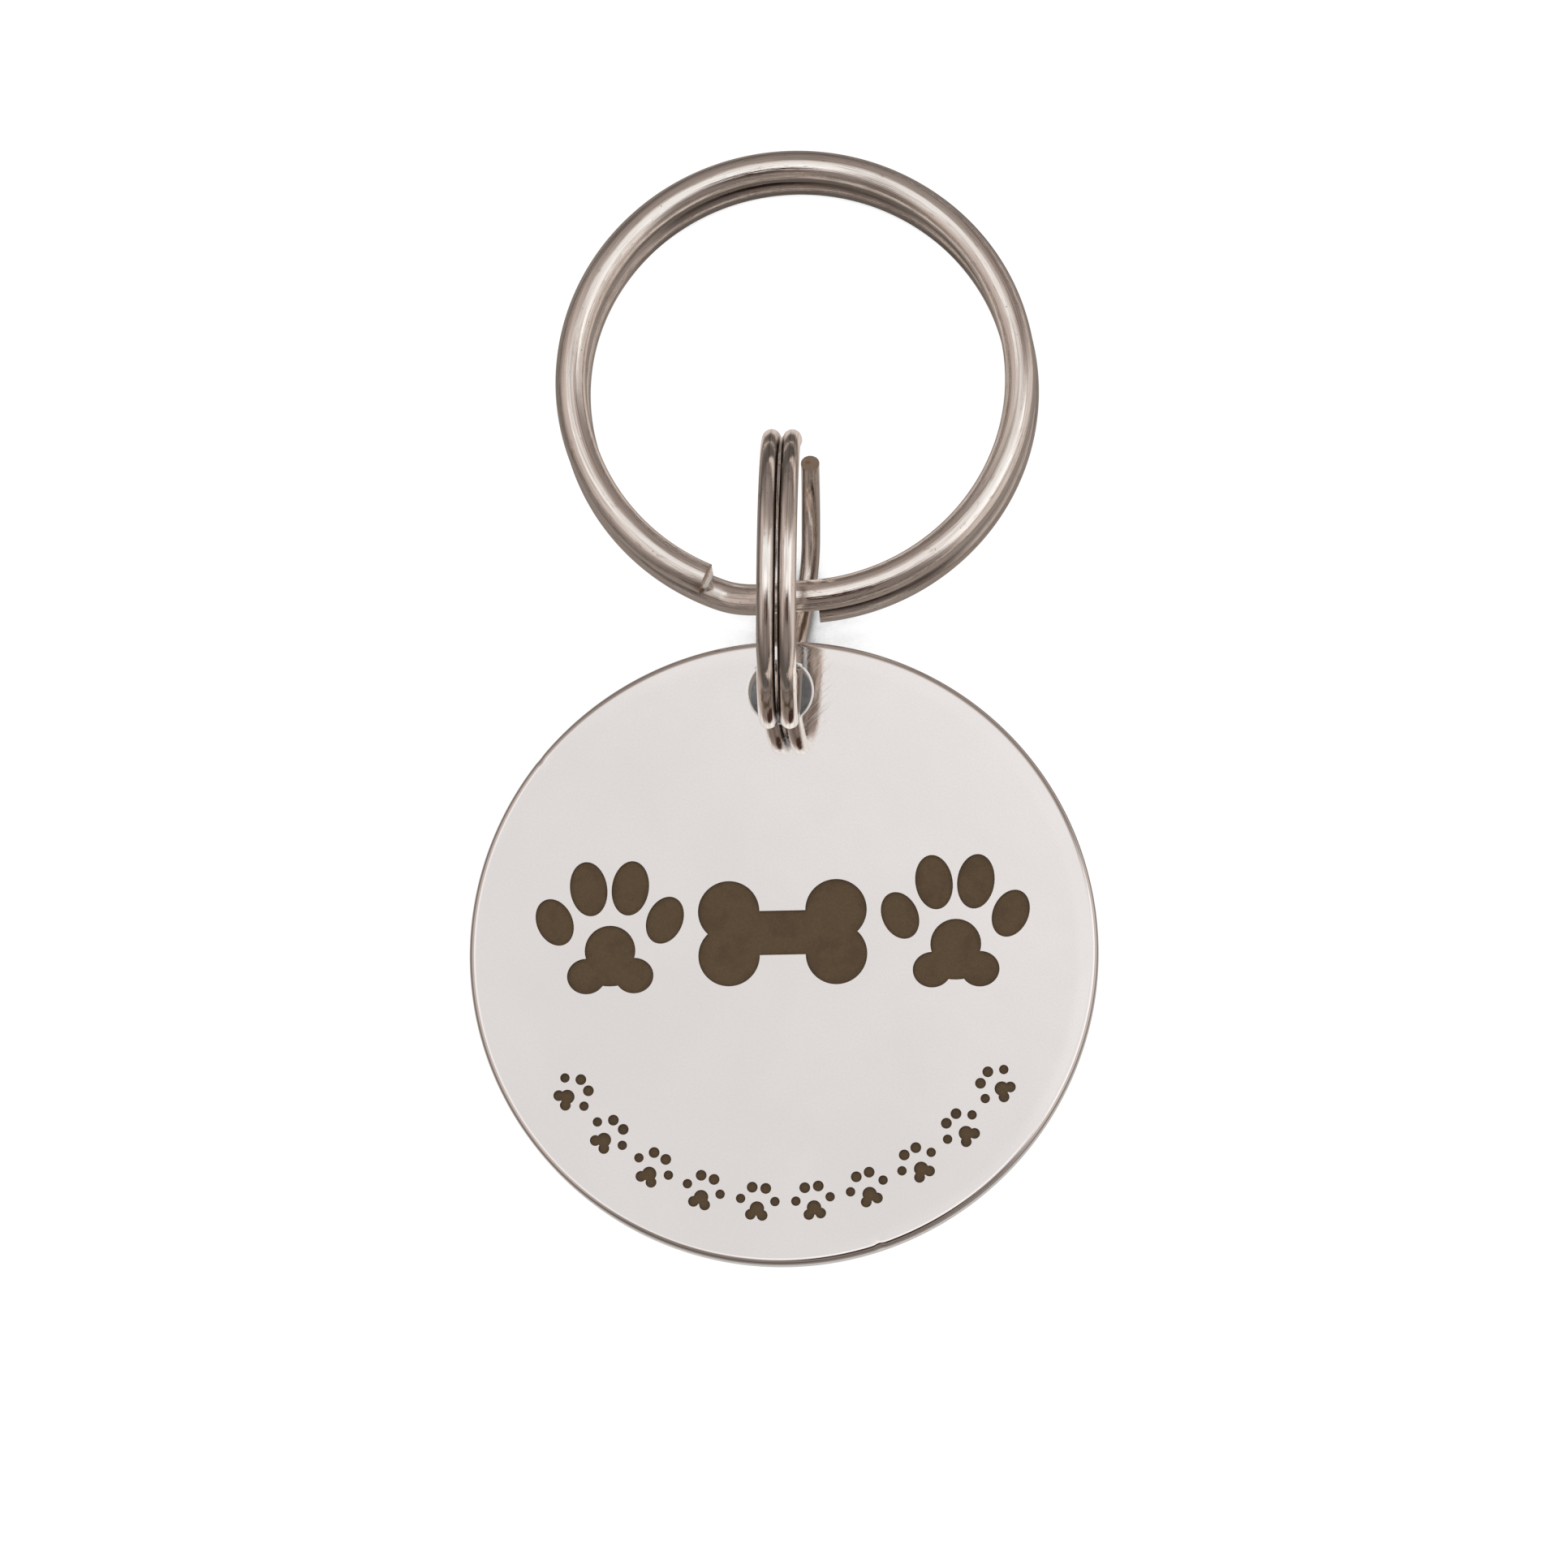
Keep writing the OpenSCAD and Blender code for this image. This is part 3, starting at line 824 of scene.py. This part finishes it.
put(disc, tag_place)
put(large, large_place)
put(small, small_place)
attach(disc, "tag")
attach(large, "large_ring")
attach(small, "small_ring")
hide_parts("tag_disc")
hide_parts("large_split_ring")
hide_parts("small_split_ring")


# The studio: a white table under plain even light, with grey surroundings and painted light and shade on the
# table that only the metal mirrors

# Degrees from the zenith at which the ramps of the surroundings end
SKY_END = 100


def studio_world():
    world = bpy.data.worlds.new("studio")
    bpy.context.scene.world = world
    world.use_nodes = True
    tree = world.node_tree
    coord = tree.nodes.new("ShaderNodeTexCoord")
    split = tree.nodes.new("ShaderNodeSeparateXYZ")
    tree.links.new(coord.outputs["Generated"], split.inputs[0])
    x, y, z = split.outputs
    share = calc(tree, "DIVIDE", calc(tree, "ARCCOSINE", z), math.radians(SKY_END))

    def sky(stops):
        """Brightness from the zenith down, as (degrees, level); what is darker is also warmer."""
        node = tree.nodes.new("ShaderNodeValToRGB")
        elements = node.color_ramp.elements
        while len(elements) < len(stops):
            elements.new(0.5)
        for element, (degrees, level) in zip(elements, stops):
            warm = max(0, min(1, (0.78 - level) / 0.33))
            element.position = degrees / SKY_END
            element.color = (level * (1 + 0.17 * warm), level, level * (1 - 0.08 * warm), 1)
        feed(tree, node.inputs[0], share)
        return node.outputs[0]

    east = sky([(0, 0.9), (9, 0.82), (22, 0.92), (36, 1.0), (46, 1.2), (52, 1.14), (59, 0.7), (66, 0.48),
                (80, 0.6), (95, 0.56)])
    west = sky([(0, 0.9), (6, 0.8), (12, 0.8), (20, 0.94), (30, 1.02), (35, 0.82), (40, 0.52), (64, 0.47),
                (76, 0.36), (85, 0.17)])
    north = sky([(0, 0.9), (12, 0.9), (21, 0.76), (28, 0.5), (38, 0.3), (48, 0.25), (66, 0.24), (80, 0.17)])
    south = sky([(0, 0.9), (8, 1.02), (17, 1.08), (22, 0.96), (27, 0.72), (32, 0.4), (38, 0.25), (50, 0.2),
                 (68, 0.2), (86, 0.1)])
    # Each direction is shared between its two nearest quarters; both ends reach further round to the right
    x_squared, y_squared = times(tree, x, x), times(tree, y, y)
    flat = larger(tree, plus(tree, x_squared, y_squared), 0.0001)
    corner = times(tree, larger(tree, x, 0.0), larger(tree, y, times(tree, y, -0.5)))
    towards = plus(tree, y_squared, times(tree, corner, 0.7))
    towards = ramped(tree, calc(tree, "DIVIDE", towards, flat), 0.3, 0.7)
    sides = blended(tree, calc(tree, "GREATER_THAN", x, 0.0), west, east)
    ends = blended(tree, calc(tree, "GREATER_THAN", y, 0.0), south, north)
    mirrored = blended(tree, towards, sides, ends)
    # A dark shape stands in front of the light
    dark_shape = falling(tree, away_from(tree, coord.outputs["Generated"], (0.15, -0.57, 0.81)), 0.19, 0.28)
    mirrored = blended(tree, dark_shape, mirrored, (0.055, 0.028, 0.02, 1))
    path = tree.nodes.new("ShaderNodeLightPath")
    seen = blended(tree, path.outputs["Is Glossy Ray"], (1, 1, 1, 1), mirrored)
    feed(tree, tree.nodes["Background"].inputs["Color"], seen)


def studio_floor():
    deselect()
    bpy.ops.mesh.primitive_plane_add(size=6, location=(0, 0, 0))
    floor = named("studio_floor")
    material, tree, shader = new_material("studio_white")
    coord = tree.nodes.new("ShaderNodeTexCoord")
    on_floor = coord.outputs["Object"]
    path = tree.nodes.new("ShaderNodeLightPath")
    looked_at = path.outputs["Is Camera Ray"]
    mirrored = larger(tree, path.outputs["Is Glossy Ray"], path.outputs["Is Transmission Ray"])
    split = tree.nodes.new("ShaderNodeSeparateXYZ")
    tree.links.new(on_floor, split.inputs[0])

    def zone(centre, radii, low, high):
        """1 inside an ellipse on the table, falling to 0 between low and high times its radii, in metres."""
        return falling(tree, away_from(tree, on_floor, centre, (1 / radii[0], 1 / radii[1], 0)), low, high)

    # The metal mirrors painted pools of light on the table: bright at the disc's rim, to the right and in the
    # large ring's eye, fading further out
    at_rim = times(tree, zone((-0.0007, -0.0131, 0), (0.017, 0.017), 0.97, 1.06),
                   falling(tree, split.outputs["Y"], -0.006, -0.001))
    bright = larger(tree, at_rim, zone((0.0, 0.0165, 0), (0.009, 0.007), 0.6, 1.15))
    bright = larger(tree, bright, ramped(tree, split.outputs["X"], 0.015, 0.032))
    table = ramped(tree, away_from(tree, on_floor, (0, 0, 0)), 0.030, 0.045, 0.2, 0.06)
    table = larger(tree, table, times(tree, bright, 0.52))
    # Painted shade on the table at the large ring's far side
    far_side_shade = zone((0.001, 0.0255, 0), (0.012, 0.005), 0.6, 1.2)
    table = times(tree, table, minus(tree, 1.0, times(tree, far_side_shade, 0.6)))
    base = blended(tree, looked_at, (0.04, 0.036, 0.032, 1), (0.16, 0.16, 0.16, 1))
    feed(tree, shader.inputs["Base Color"], base)
    shader.inputs["Roughness"].default_value = 1
    shader.inputs["Specular IOR Level"].default_value = 0
    # Only where the table is all but covered does its own white fade into shade
    shade = tree.nodes.new("ShaderNodeAmbientOcclusion")
    shade.samples = 16
    shade.inputs["Distance"].default_value = 0.005
    open_sky = ramped(tree, shade.outputs["AO"], 0.28, 0.36, 0.05, 1.0)
    glow = plus(tree, times(tree, times(tree, looked_at, open_sky), 0.93),
                times(tree, mirrored, times(tree, table, 1.18)))
    tint = blended(tree, at_rim, (1.0, 0.87, 0.795, 1), (0.9, 0.88, 0.86, 1))
    feed(tree, shader.inputs["Emission Color"], blended(tree, looked_at, tint, (1, 1, 1, 1)))
    feed(tree, shader.inputs["Emission Strength"], glow)
    floor.data.materials.append(material)


def studio_camera():
    """Looks down from 12 degrees off the vertical, half a metre away, at the photograph's scale."""
    frame_px, px_per_mm = 1932, 24.2
    pitch, yaw, roll = math.radians(12), math.radians(1.74), math.radians(1.0)
    aim, distance = Vector((-0.1, -4.5, 3.0)), 500
    back = Vector((math.sin(yaw), -math.sin(pitch) * math.cos(yaw), math.cos(pitch) * math.cos(yaw)))
    right = (-back).cross(Vector((0, 1, 0))).normalized()
    up = right.cross(-back)
    right = math.cos(roll) * right + math.sin(roll) * up
    up = right.cross(-back)
    data = bpy.data.cameras.new("photo_camera")
    data.sensor_fit = "HORIZONTAL"
    data.sensor_width = 36
    data.lens = data.sensor_width * px_per_mm * distance / frame_px
    data.clip_start = 0.01
    data.clip_end = 20
    camera = bpy.data.objects.new("photo_camera", data)
    bpy.context.scene.collection.objects.link(camera)
    place = Matrix((right, up, back)).transposed().to_4x4()
    place.translation = (aim + back * distance) * MM
    camera.matrix_world = place
    bpy.context.scene.camera = camera


studio_world()
studio_floor()
studio_camera()
bpy.context.scene.view_settings.view_transform = "Standard"
